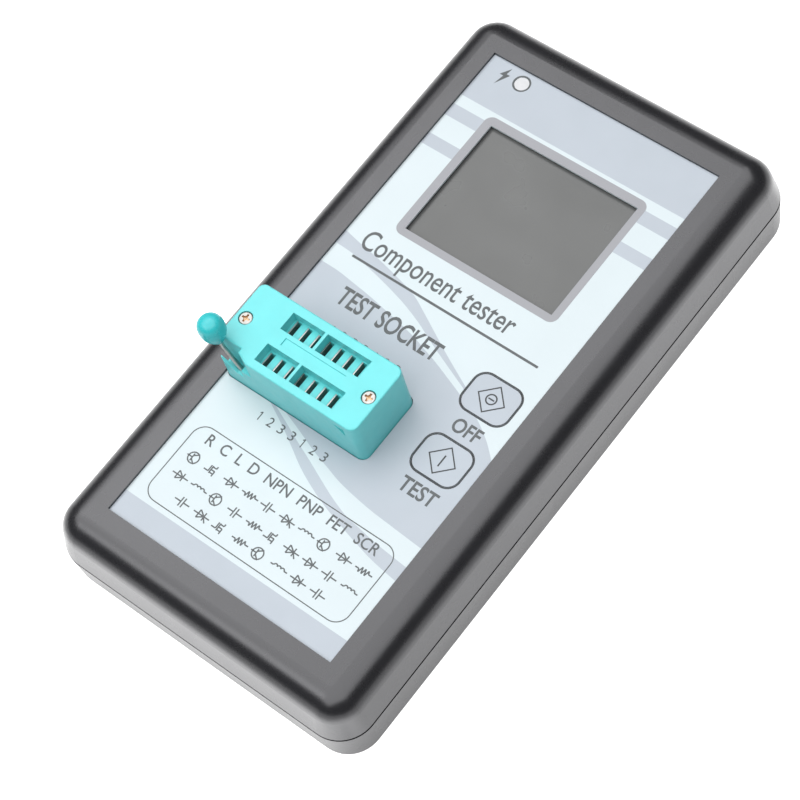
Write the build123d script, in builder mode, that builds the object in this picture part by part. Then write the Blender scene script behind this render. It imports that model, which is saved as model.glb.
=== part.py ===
"""Hand-held electronic component tester: a flat two-shell case with a printed
overlay, a small colour display, two overlay keys, a charging lamp and a
14-way zero-insertion-force (ZIF) test socket whose lever clamps the contacts.

Frame: millimetres. The origin is the centre of the back face, +X runs to the
right across the panel, +Y towards the display end, +Z out of the panel.
"""
import os
from math import cos, radians, sin

from build123d import *

os.makedirs("parts", exist_ok=True)

# ---------------------------------------------------------------- case
CASE_W = 71.5            # width at the split line
CASE_L = 135.4           # length at the split line
CASE_H = 19.0            # back face to front face
CASE_R = 7.0             # plan corner radius at the split line
SPLIT_Z = 9.3            # height of the split line
WALL = 2.0
FRONT_DRAFT = 11.5       # degrees, side walls of the front shell
REAR_DRAFT = 3.0         # degrees, side walls of the rear shell
FRONT_FILLET = 5.5       # rounded edge of the front face
REAR_FILLET = 1.8        # rounded edge of the back face
SPLIT_GAP = 0.45          # shadow line between the shells
LIP = 1.0                # thickness of the locating lip
LIP_DEPTH = 1.2          # how far the lip reaches into the rear shell
PLATE_Z = 16.5           # underside of the front plate

# ---------------------------------------------------------------- overlay
LABEL_W, LABEL_L = 52.4, 115.7
LABEL_FLOOR = 18.0       # floor of the overlay recess
FILM_T = 0.4
FILM_TOP = LABEL_FLOOR + FILM_T

# ---------------------------------------------------------------- board
BOARD_TOP = 15.1
BOARD_T = 1.6
BOARD_UNDER = BOARD_TOP - BOARD_T
BOARD_W, BOARD_L = 62.0, 119.0
BOARD_HOLE_X, BOARD_HOLE_Y = 28.3, 46.0
CORNER_X, CORNER_Y = 28.4, 60.2      # case screw bosses
BOSS_R = 3.0

# ---------------------------------------------------------------- display
WINDOW = (34.2, 26.7)
WINDOW_X, WINDOW_Y = 0.2, 31.1
GLASS = (46.0, 33.4, 1.2)
GLASS_TOP = 17.45
BACKLIGHT = (47.0, 34.4)
BACKLIGHT_X = WINDOW_X + 1.5         # the driver side of the module is longer

# ---------------------------------------------------------------- keys
KEY_X = 18.55
KEYS = {"off": -2.0, "test": -16.5}  # name: centre Y
KEY_PATCH = (10.2, 8.2)
KEY_R = 2.4
KEY_GAP = 0.1
KEY_STEM = (6.8, 4.8)
SWITCH_W = 6.2
SWITCH_BODY_TOP = 16.0
PLUNGER_R = 1.5

# ---------------------------------------------------------------- ZIF socket
ZIF_X0, ZIF_X1 = -26.1, 7.1
ZIF_Y0, ZIF_Y1 = -24.5, -9.6
ZIF_R_LEFT, ZIF_R_RIGHT = 1.4, 1.6      # plan corner radii
ZIF_FIT = 0.15           # gap round the socket where it comes through the panel
ZIF_SPLIT = 24.7         # base below, cover above
ZIF_TOP = 30.0
ZIF_CX, ZIF_CY = (ZIF_X0 + ZIF_X1) / 2, (ZIF_Y0 + ZIF_Y1) / 2
ZIF_W, ZIF_D = ZIF_X1 - ZIF_X0, ZIF_Y1 - ZIF_Y0
PITCH = 2.54
ROW_SPACING = 7.62
ROW_CY = -17.17
SLOT_X0 = -16.2          # first slot with the lever at rest
SLOT = (1.2, 3.3)
WELL_X0, WELL_X1 = -17.15, 1.09
WELL_D = 3.9
WELL_RIB = (-9.65, -9.06)
SLIDER_Z = (24.8, 27.5)
CAVITY_TOP = 27.6
ZIF_SCREWS = [(-23.95, -17.15), (5.02, -17.4)]
ZIF_HEAD_R = 1.32

# lever: a bent wire that is also the crankshaft of the socket
AXLE_X, AXLE_Z = -21.3, 21.5
AXLE_R = 0.6
BORE_CLEARANCE = 0.05
LEVER_Y = -23.45
WIRE_R = 0.45
WIRE_BEND_R = 1.2
WIRE_INSET = 1.0                        # how far past the knob's middle the wire runs
LEVER_BEND = (-24.6, 28.2)             # x and z where the arm bends up into the knob
LEVER_MIN, LEVER_MAX = -55.0, 19.0
CRANK_R = 0.7
CRANK_PIN_R = 0.5
CRANK_REST = -(LEVER_MIN + LEVER_MAX) / 2   # crank angle past straight down, at rest
KNOB_MID = (-25.36, 33.65)             # x and z of the middle of the knob
KNOB_L, KNOB_R = 7.1, 2.6
KNOB_NECK = 0.8
SLOT_FLOOR = 0.8         # lever slot below the axle
SLOT_WALL = 0.85         # lever slot past the axle

# ---------------------------------------------------------------- charging
USB_X = -17.65
USB_W, USB_H, USB_D = 7.5, 2.6, 5.6
USB_Y1 = 65.7            # mouth
LED_X, LED_Y = -17.65, 55.1
PIPE_R = 1.45
CELL = (34.0, 50.0, 6.0)
CELL_Y = -16.0
CELL_Z0 = 2.5
LEAD_R = 0.6
PLUG_Y0 = 19.0


def save(builder, label):
    """Label one finished sub-part and write its STEP file."""
    builder.part.label = label
    export_step(builder.part, f"parts/{label}.step")


corners = [(sx * CORNER_X, sy * CORNER_Y) for sx in (-1, 1) for sy in (-1, 1)]
board_holes = [(sx * BOARD_HOLE_X, sy * BOARD_HOLE_Y) for sx in (-1, 1) for sy in (-1, 1)]
slot_xs = [SLOT_X0 + i * PITCH for i in range(7)]
row_ys = [ROW_CY - ROW_SPACING / 2, ROW_CY + ROW_SPACING / 2]
slot_points = [(x, y) for x in slot_xs for y in row_ys]

# the socket's outline in plan, and the opening that it comes through
with BuildSketch() as socket_plan:
    with Locations((ZIF_CX, ZIF_CY)):
        Rectangle(ZIF_W, ZIF_D)
    fillet(socket_plan.vertices().group_by(Axis.X)[0], ZIF_R_LEFT)
    fillet(socket_plan.vertices().group_by(Axis.X)[-1], ZIF_R_RIGHT)
with BuildSketch() as socket_opening:
    add(socket_plan.sketch)
    offset(amount=ZIF_FIT)

# ================================================================ front shell
with BuildPart() as front_shell:
    with BuildSketch(Plane.XY.offset(SPLIT_Z)):
        RectangleRounded(CASE_W, CASE_L, CASE_R)
    extrude(amount=CASE_H - SPLIT_Z, taper=FRONT_DRAFT)
    fillet(front_shell.edges().group_by(Axis.Z)[-1], FRONT_FILLET)
    with BuildSketch(Plane.XY.offset(SPLIT_Z)):
        RectangleRounded(CASE_W - 2 * WALL, CASE_L - 2 * WALL, CASE_R - WALL)
    extrude(amount=PLATE_Z - SPLIT_Z, taper=FRONT_DRAFT, mode=Mode.SUBTRACT)
    # the wall stops short of the split to leave the shadow line
    with BuildSketch(Plane.XY.offset(SPLIT_Z)):
        RectangleRounded(CASE_W + 1, CASE_L + 1, CASE_R)
        RectangleRounded(CASE_W - 2 * LIP, CASE_L - 2 * LIP, CASE_R - LIP, mode=Mode.SUBTRACT)
    extrude(amount=SPLIT_GAP / 2, mode=Mode.SUBTRACT)
    with BuildSketch(Plane.XY.offset(SPLIT_Z - LIP_DEPTH)):
        RectangleRounded(CASE_W - 2 * LIP, CASE_L - 2 * LIP, CASE_R - LIP)
        RectangleRounded(CASE_W - 2 * WALL, CASE_L - 2 * WALL, CASE_R - WALL, mode=Mode.SUBTRACT)
    extrude(amount=LIP_DEPTH)
    # screw bosses down to the split line, pilot holes from below
    with BuildSketch(Plane.XY.offset(SPLIT_Z)):
        with Locations(*corners):
            Circle(BOSS_R)
    extrude(amount=PLATE_Z - SPLIT_Z + 0.2)
    with BuildSketch(Plane.XY.offset(SPLIT_Z)):
        with Locations(*corners):
            Circle(1.05)
    extrude(amount=7.0, mode=Mode.SUBTRACT)
    # short pads that the circuit board is screwed to
    with BuildSketch(Plane.XY.offset(BOARD_TOP)):
        with Locations(*board_holes):
            Circle(2.2)
    extrude(amount=PLATE_Z - BOARD_TOP + 0.2)
    with BuildSketch(Plane.XY.offset(BOARD_TOP)):
        with Locations(*board_holes):
            Circle(0.8)
    extrude(amount=2.6, mode=Mode.SUBTRACT)
    # recess for the overlay
    with BuildSketch(Plane.XY.offset(LABEL_FLOOR)):
        Rectangle(LABEL_W, LABEL_L)
    extrude(amount=CASE_H - LABEL_FLOOR, mode=Mode.SUBTRACT)
    # display: thinned pocket below, window through
    with BuildSketch(Plane.XY.offset(PLATE_Z)):
        with Locations((BACKLIGHT_X, WINDOW_Y)):
            Rectangle(BACKLIGHT[0] + 0.6, BACKLIGHT[1] + 0.6)
    extrude(amount=GLASS_TOP + 0.05 - PLATE_Z, mode=Mode.SUBTRACT)
    with BuildSketch(Plane.XY.offset(PLATE_Z)):
        with Locations((WINDOW_X, WINDOW_Y)):
            Rectangle(WINDOW[0] + 0.2, WINDOW[1] + 0.2)
    extrude(amount=CASE_H - PLATE_Z, mode=Mode.SUBTRACT)
    # opening for the test socket, open to the left edge of the recess
    with BuildSketch(Plane.XY.offset(PLATE_Z)):
        add(socket_opening.sketch)
    extrude(amount=CASE_H - PLATE_Z, mode=Mode.SUBTRACT)
    # key pockets with a smaller opening for each stem
    for key_y in KEYS.values():
        with BuildSketch(Plane.XY.offset(LABEL_FLOOR - 0.5)):
            with Locations((KEY_X, key_y)):
                RectangleRounded(KEY_PATCH[0] + 2 * KEY_GAP, KEY_PATCH[1] + 2 * KEY_GAP, KEY_R)
        extrude(amount=0.5, mode=Mode.SUBTRACT)
        with BuildSketch(Plane.XY.offset(PLATE_Z)):
            with Locations((KEY_X, key_y)):
                Rectangle(KEY_STEM[0] + 2 * KEY_GAP, KEY_STEM[1] + 2 * KEY_GAP)
        extrude(amount=LABEL_FLOOR - PLATE_Z, mode=Mode.SUBTRACT)
    # lamp hole
    with BuildSketch(Plane.XY.offset(PLATE_Z)):
        with Locations((LED_X, LED_Y)):
            Circle(PIPE_R + 0.05)
    extrude(amount=CASE_H - PLATE_Z, mode=Mode.SUBTRACT)
    # charging port opening in the end wall
    with BuildSketch(Plane.XZ.offset(-CASE_L / 2 - 1)):
        with Locations((USB_X, BOARD_UNDER - USB_H / 2)):
            RectangleRounded(USB_W + 1.6, USB_H + 1.4, 1.2)
    extrude(amount=6, mode=Mode.SUBTRACT)
save(front_shell, "front_shell")

# ================================================================ rear shell
REAR_TOP = SPLIT_Z - SPLIT_GAP / 2
with BuildPart() as rear_shell:
    with BuildSketch(Plane.XY.offset(REAR_TOP)):
        RectangleRounded(CASE_W, CASE_L, CASE_R)
    extrude(amount=-REAR_TOP, taper=REAR_DRAFT)
    fillet(rear_shell.edges().group_by(Axis.Z)[0], REAR_FILLET)
    with BuildSketch(Plane.XY.offset(WALL)):
        RectangleRounded(CASE_W - 2 * WALL - 0.8, CASE_L - 2 * WALL - 0.8, CASE_R - WALL - 0.4)
    extrude(amount=REAR_TOP - WALL, mode=Mode.SUBTRACT)
    # rebate that takes the front shell's lip
    with BuildSketch(Plane.XY.offset(SPLIT_Z - LIP_DEPTH - 0.1)):
        RectangleRounded(CASE_W - 2 * LIP + 0.1, CASE_L - 2 * LIP + 0.1, CASE_R - LIP + 0.05)
    extrude(amount=LIP_DEPTH, mode=Mode.SUBTRACT)
    with BuildSketch(Plane.XY.offset(WALL - 0.2)):
        with Locations(*corners):
            Circle(BOSS_R)
    extrude(amount=SPLIT_Z - WALL + 0.2)
    # low walls that locate the cell
    with BuildSketch(Plane.XY.offset(WALL - 0.1)):
        with Locations((0, CELL_Y)):
            Rectangle(CELL[0] + 3.0, CELL[1] + 3.0)
            Rectangle(CELL[0] + 1.0, CELL[1] + 1.0, mode=Mode.SUBTRACT)
            Rectangle(CELL[0] - 12, CELL[1] + 6, mode=Mode.SUBTRACT)
    extrude(amount=3.1)
    with Locations(*[Location((x, y, 0), (180, 0, 0)) for x, y in corners]):
        CounterBoreHole(radius=1.35, counter_bore_radius=2.5, counter_bore_depth=3.0, depth=SPLIT_Z)
save(rear_shell, "rear_shell")

# ================================================================ case screws
with BuildPart() as case_screws:
    with BuildSketch(Plane.XY.offset(1.4)):
        with Locations(*corners):
            Circle(2.25)
    extrude(amount=1.6)
    with BuildSketch(Plane.XY.offset(3.0)):
        with Locations(*corners):
            Circle(1.04)
    extrude(amount=12.0)
    for screw_x, screw_y in corners:
        with BuildSketch(Plane.XY.offset(1.4)):
            with Locations((screw_x, screw_y)):
                Rectangle(2.6, 0.5)
                Rectangle(0.5, 2.6)
        extrude(amount=0.9, mode=Mode.SUBTRACT)
    fillet(case_screws.edges().filter_by(GeomType.CIRCLE).group_by(Axis.Z)[0], 0.4)
save(case_screws, "case_screws")

# ================================================================ overlay film
with BuildPart() as overlay_film:
    with BuildSketch(Plane.XY.offset(LABEL_FLOOR)):
        Rectangle(LABEL_W - 0.06, LABEL_L - 0.06)
        with Locations((WINDOW_X, WINDOW_Y)):
            Rectangle(*WINDOW, mode=Mode.SUBTRACT)
        add(socket_opening.sketch, mode=Mode.SUBTRACT)
        with Locations((LED_X, LED_Y)):
            Circle(PIPE_R + 0.05, mode=Mode.SUBTRACT)
        with Locations(*[(KEY_X, y) for y in KEYS.values()]):
            RectangleRounded(KEY_PATCH[0] + 2 * KEY_GAP, KEY_PATCH[1] + 2 * KEY_GAP,
                             KEY_R + KEY_GAP, mode=Mode.SUBTRACT)
    extrude(amount=FILM_T)
save(overlay_film, "overlay_film")

# ================================================================ keys and switches
STEM_BOTTOM = 16.5
for key_name, key_y in KEYS.items():
    with BuildPart() as key:
        with BuildSketch(Plane.XY.offset(LABEL_FLOOR - 0.05)):
            with Locations((KEY_X, key_y)):
                RectangleRounded(*KEY_PATCH, KEY_R)
        extrude(amount=FILM_T + 0.05)
        with BuildSketch(Plane.XY.offset(STEM_BOTTOM)):
            with Locations((KEY_X, key_y)):
                Rectangle(*KEY_STEM)
        extrude(amount=LABEL_FLOOR - STEM_BOTTOM)
    save(key, f"key_{key_name}")

    with BuildPart() as switch_body:
        with BuildSketch(Plane.XY.offset(BOARD_TOP)):
            with Locations((KEY_X, key_y)):
                Rectangle(SWITCH_W, SWITCH_W)
        extrude(amount=SWITCH_BODY_TOP - BOARD_TOP)
        with BuildSketch(Plane.XY.offset(BOARD_TOP + 0.2)):
            with Locations((KEY_X, key_y)):
                Circle(PLUNGER_R + BORE_CLEARANCE)
        extrude(amount=SWITCH_BODY_TOP - BOARD_TOP, mode=Mode.SUBTRACT)
    save(switch_body, f"switch_{key_name}_body")

    with BuildPart() as plunger:
        with BuildSketch(Plane.XY.offset(BOARD_TOP + 0.6)):
            with Locations((KEY_X, key_y)):
                Circle(PLUNGER_R)
        extrude(amount=STEM_BOTTOM - BOARD_TOP - 0.6)
    save(plunger, f"switch_{key_name}_plunger")

# steel cover plate and four soldered legs of each switch
with BuildPart() as switch_frames:
    for key_y in KEYS.values():
        with BuildSketch(Plane.XY.offset(SWITCH_BODY_TOP)):
            with Locations((KEY_X, key_y)):
                Rectangle(SWITCH_W, SWITCH_W)
                Circle(PLUNGER_R + 0.2, mode=Mode.SUBTRACT)
        extrude(amount=0.12)
        with BuildSketch(Plane.XY.offset(BOARD_TOP)):
            with Locations((KEY_X, key_y)):
                with GridLocations(SWITCH_W + 0.4, 4.5, 2, 2):
                    Rectangle(0.4, 0.7)
        extrude(amount=SWITCH_BODY_TOP + 0.12 - BOARD_TOP)
save(switch_frames, "switch_frames")

# ================================================================ charging lamp
with BuildPart() as light_pipe:
    with BuildSketch(Plane.XY.offset(PLATE_Z - 0.3)):
        with Locations((LED_X, LED_Y)):
            Circle(PIPE_R + 0.5)
    extrude(amount=0.3)
    with BuildSketch(Plane.XY.offset(PLATE_Z)):
        with Locations((LED_X, LED_Y)):
            Circle(PIPE_R)
    extrude(amount=FILM_TOP - 0.05 - PLATE_Z)
save(light_pipe, "light_pipe")

with BuildPart() as charge_led:
    with BuildSketch(Plane.XY.offset(BOARD_TOP)):
        with Locations((LED_X, LED_Y)):
            Rectangle(2.0, 1.25)
    extrude(amount=0.5)
    with BuildSketch(Plane.XY.offset(BOARD_TOP + 0.5)):
        with Locations((LED_X, LED_Y)):
            Rectangle(1.2, 1.25)
    extrude(amount=0.35)
save(charge_led, "charge_led")

# ================================================================ display module
with BuildPart() as display_glass:
    with BuildSketch(Plane.XY.offset(GLASS_TOP - GLASS[2])):
        with Locations((BACKLIGHT_X, WINDOW_Y)):
            Rectangle(GLASS[0], GLASS[1])
    extrude(amount=GLASS[2])
save(display_glass, "display_glass")

with BuildPart() as display_backlight:
    with BuildSketch(Plane.XY.offset(BOARD_TOP)):
        with Locations((BACKLIGHT_X, WINDOW_Y)):
            Rectangle(*BACKLIGHT)
    extrude(amount=GLASS_TOP - 0.4 - BOARD_TOP)
    with BuildSketch(Plane.XY.offset(GLASS_TOP - GLASS[2])):
        with Locations((BACKLIGHT_X, WINDOW_Y)):
            Rectangle(GLASS[0], GLASS[1])
    extrude(amount=GLASS[2], mode=Mode.SUBTRACT)
save(display_backlight, "display_backlight")

with BuildPart() as display_ribbon:
    ribbon_x0 = BACKLIGHT_X + BACKLIGHT[0] / 2
    with BuildSketch(Plane.XZ.offset(-WINDOW_Y + 8)):
        with BuildLine():
            Polyline((ribbon_x0, 16.0), (ribbon_x0 + 1.6, 16.0), (ribbon_x0 + 1.6, 15.1),
                     (ribbon_x0 + 3.4, 15.1), (ribbon_x0 + 3.4, 15.25), (ribbon_x0 + 1.75, 15.25),
                     (ribbon_x0 + 1.75, 16.15), (ribbon_x0, 16.15), close=True)
        make_face()
    extrude(amount=-16)
save(display_ribbon, "display_ribbon")

# ================================================================ circuit board
with BuildPart() as main_board:
    with BuildSketch(Plane.XY.offset(BOARD_UNDER)):
        Rectangle(BOARD_W, BOARD_L)
        with Locations(*[(sx * BOARD_W / 2, sy * BOARD_L / 2) for sx in (-1, 1) for sy in (-1, 1)]):
            Rectangle(12.4, 5.6, mode=Mode.SUBTRACT)
        with Locations((USB_X, BOARD_L / 2)):
            Rectangle(10.6, 6.0)
        with Locations(*board_holes):
            Circle(1.1, mode=Mode.SUBTRACT)
        with Locations(*slot_points):
            Circle(0.45, mode=Mode.SUBTRACT)
    extrude(amount=BOARD_T)
save(main_board, "main_board")

with BuildPart() as board_screws:
    with BuildSketch(Plane.XY.offset(BOARD_UNDER - 1.2)):
        with Locations(*board_holes):
            Circle(1.9)
    extrude(amount=1.2)
    with BuildSketch(Plane.XY.offset(BOARD_UNDER)):
        with Locations(*board_holes):
            Circle(0.79)
    extrude(amount=3.9)
    for hole_x, hole_y in board_holes:
        with BuildSketch(Plane.XY.offset(BOARD_UNDER - 1.2)):
            with Locations((hole_x, hole_y)):
                Rectangle(2.2, 0.45)
                Rectangle(0.45, 2.2)
        extrude(amount=0.7, mode=Mode.SUBTRACT)
save(board_screws, "board_screws")


def block_part(label, blocks, z, up):
    """A group of small rectangular components: (x, y, width, depth, height)."""
    with BuildPart() as group:
        for x, y, w, d, h in blocks:
            with BuildSketch(Plane.XY.offset(z)):
                with Locations((x, y)):
                    Rectangle(w, d)
            extrude(amount=h if up else -h)
    save(group, label)


# measuring side: controller, its crystal and the precision parts beside the socket
block_part("mcu_chip", [(-4.0, 5.0, 7.0, 7.0, 1.2)], BOARD_TOP, True)
block_part("crystal", [(6.5, 5.0, 3.2, 5.0, 1.0)], BOARD_TOP, True)
block_part("chip_resistors",
           [(-14.0 + 2.2 * i, -1.5, 1.2, 2.0, 0.5) for i in range(6)]
           + [(-14.0 + 2.2 * i, -40.0, 1.2, 2.0, 0.5) for i in range(6)], BOARD_TOP, True)
block_part("chip_capacitors",
           [(12.0, 9.0 - 3.0 * i, 2.0, 1.25, 0.9) for i in range(3)]
           + [(2.0 + 3.0 * i, -40.0, 2.0, 1.25, 0.9) for i in range(4)], BOARD_TOP, True)
# power side, on the underside of the board
block_part("charger_chip", [(-10.0, 52.0, 5.0, 4.0, 1.5)], BOARD_UNDER, False)
block_part("boost_inductor", [(4.0, 50.0, 6.0, 6.0, 2.8)], BOARD_UNDER, False)
block_part("switching_transistors", [(14.0 + 4.0 * i, 50.0, 1.5, 3.0, 1.1) for i in range(3)],
           BOARD_UNDER, False)

with BuildPart() as filter_capacitors:
    for cap_x in (-8.0, -17.0):
        with BuildSketch(Plane.XY.offset(BOARD_UNDER)):
            with Locations((cap_x, 38.0)):
                Circle(3.15)
        extrude(amount=-5.4)
save(filter_capacitors, "filter_capacitors")

# ================================================================ charging port
USB_Y0 = USB_Y1 - USB_D
with BuildPart() as usb_shell:
    with BuildSketch(Plane.XZ.offset(-USB_Y0)):
        with Locations((USB_X, BOARD_UNDER - USB_H / 2)):
            RectangleRounded(USB_W, USB_H, 0.6)
            RectangleRounded(USB_W - 0.6, USB_H - 0.6, 0.35, mode=Mode.SUBTRACT)
    extrude(amount=-USB_D)
    with BuildSketch(Plane.XZ.offset(-USB_Y0)):
        with Locations((USB_X, BOARD_UNDER - USB_H / 2)):
            RectangleRounded(USB_W, USB_H, 0.6)
    extrude(amount=-0.4)
save(usb_shell, "usb_shell")

with BuildPart() as usb_tongue:
    with BuildSketch(Plane.XZ.offset(-USB_Y0 - 0.4)):
        with Locations((USB_X, BOARD_UNDER - 0.95)):
            Rectangle(3.6, 0.6)
    extrude(amount=-(USB_D - 1.2))
save(usb_tongue, "usb_tongue")

# ================================================================ cell and its leads
with BuildPart() as battery_pad:
    with BuildSketch(Plane.XY.offset(WALL)):
        with Locations((0, CELL_Y)):
            Rectangle(24.0, 40.0)
    extrude(amount=CELL_Z0 - WALL)
save(battery_pad, "battery_pad")

with BuildPart() as battery_cell:
    with BuildSketch(Plane.XY.offset(CELL_Z0)):
        with Locations((0, CELL_Y)):
            RectangleRounded(CELL[0], CELL[1], 1.5)
    extrude(amount=CELL[2])
    fillet(battery_cell.edges().group_by(Axis.Z)[0] + battery_cell.edges().group_by(Axis.Z)[-1], 0.8)
save(battery_cell, "battery_cell")

PLUG_Z = 10.6
with BuildPart() as battery_socket:
    with BuildSketch(Plane.XY.offset(BOARD_UNDER)):
        with Locations((0, PLUG_Y0 + 5.5)):
            Rectangle(6.0, 7.0)
    extrude(amount=-5.0)
    with BuildSketch(Plane.XZ.offset(-PLUG_Y0 - 2.0)):
        with Locations((0, PLUG_Z)):
            Rectangle(4.6, 3.0)
    extrude(amount=-5.5, mode=Mode.SUBTRACT)
save(battery_socket, "battery_socket")

with BuildPart() as battery_plug:
    with BuildSketch(Plane.XZ.offset(-PLUG_Y0)):
        with Locations((0, PLUG_Z)):
            Rectangle(4.4, 2.8)
    extrude(amount=-6.0)
save(battery_plug, "battery_plug")

for lead_name, lead_x in (("battery_lead_red", -1.1), ("battery_lead_black", 1.1)):
    cell_end = CELL_Y + CELL[1] / 2
    with BuildPart() as lead:
        with BuildLine() as lead_path:
            FilletPolyline((lead_x, cell_end, 5.5), (lead_x, cell_end + 4.6, 5.5),
                           (lead_x, cell_end + 4.6, PLUG_Z), (lead_x, PLUG_Y0, PLUG_Z), radius=2.2)
        with BuildSketch(Plane(origin=(lead_x, cell_end, 5.5), z_dir=(0, 1, 0))):
            Circle(LEAD_R)
        sweep(path=lead_path.line)
    save(lead, lead_name)

# ================================================================ ZIF socket base
with BuildPart() as zif_base:
    with BuildSketch(Plane.XY.offset(BOARD_TOP)):
        add(socket_plan.sketch)
    extrude(amount=ZIF_SPLIT - BOARD_TOP)
    with BuildSketch(Plane.XY.offset(BOARD_TOP)):
        with Locations(*slot_points):
            Rectangle(1.6, 3.2)
    extrude(amount=ZIF_SPLIT - BOARD_TOP, mode=Mode.SUBTRACT)
    # pocket for the crank and the slider's fork
    with BuildSketch(Plane.XY.offset(AXLE_Z - 2.2)):
        with Locations((AXLE_X + 0.15, ROW_CY)):
            Rectangle(3.6, 6.2)
    extrude(amount=ZIF_SPLIT - AXLE_Z + 2.2, mode=Mode.SUBTRACT)
    # bearing: a round-bottomed slot, open upwards for assembly
    with BuildSketch(Plane.XZ.offset(-(-22.6))):
        with Locations((AXLE_X, AXLE_Z)):
            Circle(AXLE_R + BORE_CLEARANCE)
        with Locations((AXLE_X, (AXLE_Z + ZIF_SPLIT) / 2)):
            Rectangle(2 * (AXLE_R + BORE_CLEARANCE), ZIF_SPLIT - AXLE_Z)
    extrude(amount=-11.4, mode=Mode.SUBTRACT)
    # slot in which the lever swings, open at the left end
    with BuildSketch(Plane.XZ.offset(-(-22.4))):
        with BuildLine():
            Polyline((ZIF_X0 - 1, AXLE_Z - SLOT_FLOOR), (AXLE_X + SLOT_WALL, AXLE_Z - SLOT_FLOOR),
                     (AXLE_X + SLOT_WALL, ZIF_SPLIT + 1), (ZIF_X0 - 1, ZIF_SPLIT + 1), close=True)
        make_face()
    extrude(amount=1.55, mode=Mode.SUBTRACT)
    # the wall in front of the lever slopes down to the axle
    with BuildSketch(Plane.XZ.offset(-(ZIF_Y0 + 1.0))):
        with BuildLine():
            Polyline((ZIF_X0 + 0.8, ZIF_SPLIT), (AXLE_X - 0.8, AXLE_Z + 0.9),
                     (AXLE_X + SLOT_WALL, AXLE_Z + 0.9), (AXLE_X + SLOT_WALL, ZIF_SPLIT + 1),
                     (ZIF_X0 + 0.8, ZIF_SPLIT + 1), close=True)
        make_face()
    extrude(amount=1.5, mode=Mode.SUBTRACT)
    with BuildSketch(Plane.XY.offset(ZIF_SPLIT)):
        with Locations(*ZIF_SCREWS):
            Circle(0.7)
    extrude(amount=-5.5, mode=Mode.SUBTRACT)
save(zif_base, "zif_base")

# ================================================================ ZIF socket cover
with BuildPart() as zif_cover:
    with BuildSketch(Plane.XY.offset(ZIF_SPLIT)):
        add(socket_plan.sketch)
        # notch that lets the lever stand up, with a slanting end
        with BuildLine():
            Polyline((ZIF_X0 - 1, -22.4), (-20.65, -22.4), (-20.65, -23.3), (-18.0, ZIF_Y0),
                     (-18.0, ZIF_Y0 - 1), (ZIF_X0 - 1, ZIF_Y0 - 1), close=True)
        make_face(mode=Mode.SUBTRACT)
    extrude(amount=ZIF_TOP - ZIF_SPLIT)
    fillet(zif_cover.edges().group_by(Axis.Z)[-1], 0.3)
    # cavity for the slider: wide under the wells, narrow beside the lever
    with BuildSketch(Plane.XY.offset(ZIF_SPLIT)):
        with Locations(((-18.3 + 3.9) / 2, ZIF_CY)):
            Rectangle(3.9 + 18.3, 12.3)
        with Locations(((-23.1 - 18.3) / 2, ROW_CY)):
            Rectangle(4.8, 6.0)
    extrude(amount=CAVITY_TOP - ZIF_SPLIT, mode=Mode.SUBTRACT)
    with BuildSketch(Plane.XY.offset(CAVITY_TOP)):
        for row_y in (-13.45, -20.9):
            for x0, x1 in ((WELL_X0, WELL_RIB[0]), (WELL_RIB[1], WELL_X1)):
                with Locations(((x0 + x1) / 2, row_y)):
                    Rectangle(x1 - x0, WELL_D)
    extrude(amount=ZIF_TOP - CAVITY_TOP, mode=Mode.SUBTRACT)
    # shallow blank panel between the wells
    with BuildSketch(Plane.XY.offset(ZIF_TOP - 0.25)):
        with Locations((-8.05, -17.12)):
            Rectangle(14.0, 1.65)
    extrude(amount=0.25, mode=Mode.SUBTRACT)
    # keepers that close the axle's bearing slots
    with BuildSketch(Plane.XY.offset(AXLE_Z + AXLE_R + 0.1)):
        with Locations((AXLE_X, -21.2), (AXLE_X, -12.6)):
            Rectangle(1.1, 1.8)
    extrude(amount=ZIF_SPLIT - AXLE_Z - AXLE_R)
    # moulding relief in the front wall
    with BuildSketch(Plane.XZ.offset(-ZIF_Y0 + 0.1)):
        with BuildLine():
            Polyline((1.9, 28.3), (4.5, 28.3), (4.5, 26.0), close=True)
        make_face()
    extrude(amount=-1.2, mode=Mode.SUBTRACT)
    for screw_x, screw_y in ZIF_SCREWS:
        with Locations((screw_x, screw_y, ZIF_TOP)):
            CounterBoreHole(radius=0.8, counter_bore_radius=ZIF_HEAD_R + 0.1, counter_bore_depth=0.8,
                            depth=ZIF_TOP - ZIF_SPLIT)
save(zif_cover, "zif_cover")

# ================================================================ ZIF slider
FORK_X = AXLE_X - CRANK_R * sin(radians(CRANK_REST))
with BuildPart() as zif_slider:
    with BuildSketch(Plane.XY.offset(SLIDER_Z[0])):
        with Locations(((-18.0 + 2.6) / 2, ZIF_CY)):
            Rectangle(20.6, 12.0)
        with Locations(((-22.83 - 18.0) / 2, ROW_CY)):
            Rectangle(4.83, 4.4)
        with Locations(*slot_points):
            Rectangle(*SLOT, mode=Mode.SUBTRACT)
    extrude(amount=SLIDER_Z[1] - SLIDER_Z[0])
    # fork that the crank pin works in
    with BuildSketch(Plane.XY.offset(AXLE_Z - 1.6)):
        with Locations((AXLE_X, ROW_CY)):
            Rectangle(2.43, 4.4)
    extrude(amount=SLIDER_Z[0] - AXLE_Z + 1.6)
    with BuildSketch(Plane.XY.offset(AXLE_Z - 1.6)):
        with Locations((FORK_X, ROW_CY)):
            Rectangle(1.25, 5.0)
    extrude(amount=1.8, mode=Mode.SUBTRACT)
save(zif_slider, "zif_slider")

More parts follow.
